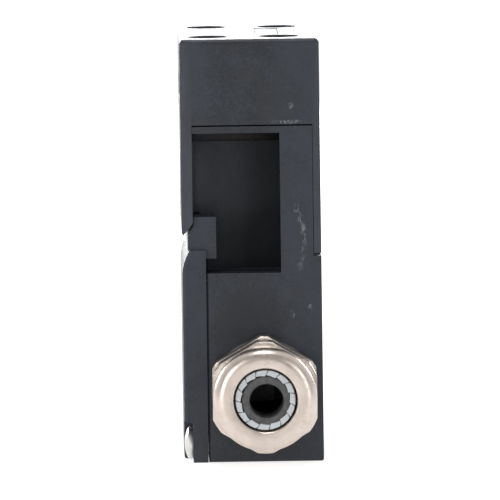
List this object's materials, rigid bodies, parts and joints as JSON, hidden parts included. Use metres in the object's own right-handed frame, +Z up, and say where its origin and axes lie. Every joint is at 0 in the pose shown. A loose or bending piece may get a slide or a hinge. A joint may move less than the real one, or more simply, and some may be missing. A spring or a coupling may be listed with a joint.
{
  "type": "tongue interlock switch",
  "caption": "Slim black plastic guard switch with a wrap-around head, side fixing pockets, a screwed terminal cover and a nickel cable gland; a tongue turns its cam and lifts the plunger.",
  "frame": {"origin": "middle of the housing's base, at the bottom", "axes": "+Z up to the top of the head, -Y out of the cover face, +Y out of the mounting face, +X out of the side with the cable gland"},
  "size_m": [0.0746, 0.0296, 0.09],
  "materials": {
    "black_thermoplastic": "fine matt mould texture",
    "dark_rubber": "smooth rubber",
    "plated_steel": "bright zinc or nickel plating",
    "brass": "plain rolled brass",
    "nickel_plated_brass": "turned and nickel plated",
    "grey_polyamide": "smooth moulding",
    "white_acetal": "smooth moulding",
    "cam_metal": "sintered steel",
    "grey_thermoset": "matt moulding"
  },
  "bodies": {
    "housing": {"housing": "black_thermoplastic", "head_cap": "black_thermoplastic", "head_gasket": "dark_rubber", "head_screws": "plated_steel", "tongue_guide": "plated_steel", "top_slot_plug": "black_thermoplastic", "terminal_cover": "black_thermoplastic", "cover_gasket": "dark_rubber", "cover_screws": "plated_steel", "cover_inserts": "brass", "gland_washer": "dark_rubber", "gland_body": "nickel_plated_brass", "gland_seal": "dark_rubber", "clamping_cage": "grey_polyamide", "dome_nut": "nickel_plated_brass", "blanking_plug": "black_thermoplastic", "blanking_plug_washer": "dark_rubber", "cam_bearings": "white_acetal", "plunger_spring": "plated_steel", "plunger_seal": "dark_rubber", "contact_block": "grey_thermoset", "fixed_contacts": "brass", "terminal_screws": "plated_steel", "terminal_clamps": "plated_steel"},
    "cam": {"cam_axle": "plated_steel", "coded_wheel": "cam_metal", "cam_discs": "cam_metal"},
    "plunger": {"plunger_yoke": "white_acetal", "contact_carrier": "white_acetal", "contact_bridges": "brass", "contact_springs": "plated_steel"}
  },
  "joints": [
    {"name": "cam_turn", "type": "hinge", "parent": "housing", "child": "cam", "pos_m": [0, -0.0012, 0.0735], "axis": [-1, 0, 0], "range_deg": [0, 60]},
    {"name": "plunger_lift", "type": "slide", "parent": "housing", "child": "plunger", "axis": [0, 0, 1], "range_m": [0, 0.003], "deforming": ["plunger_spring"]}
  ],
  "couplings": [
    {"joint": "cam_turn", "follows": "plunger_lift", "rad_per_m": 349.06}
  ]
}
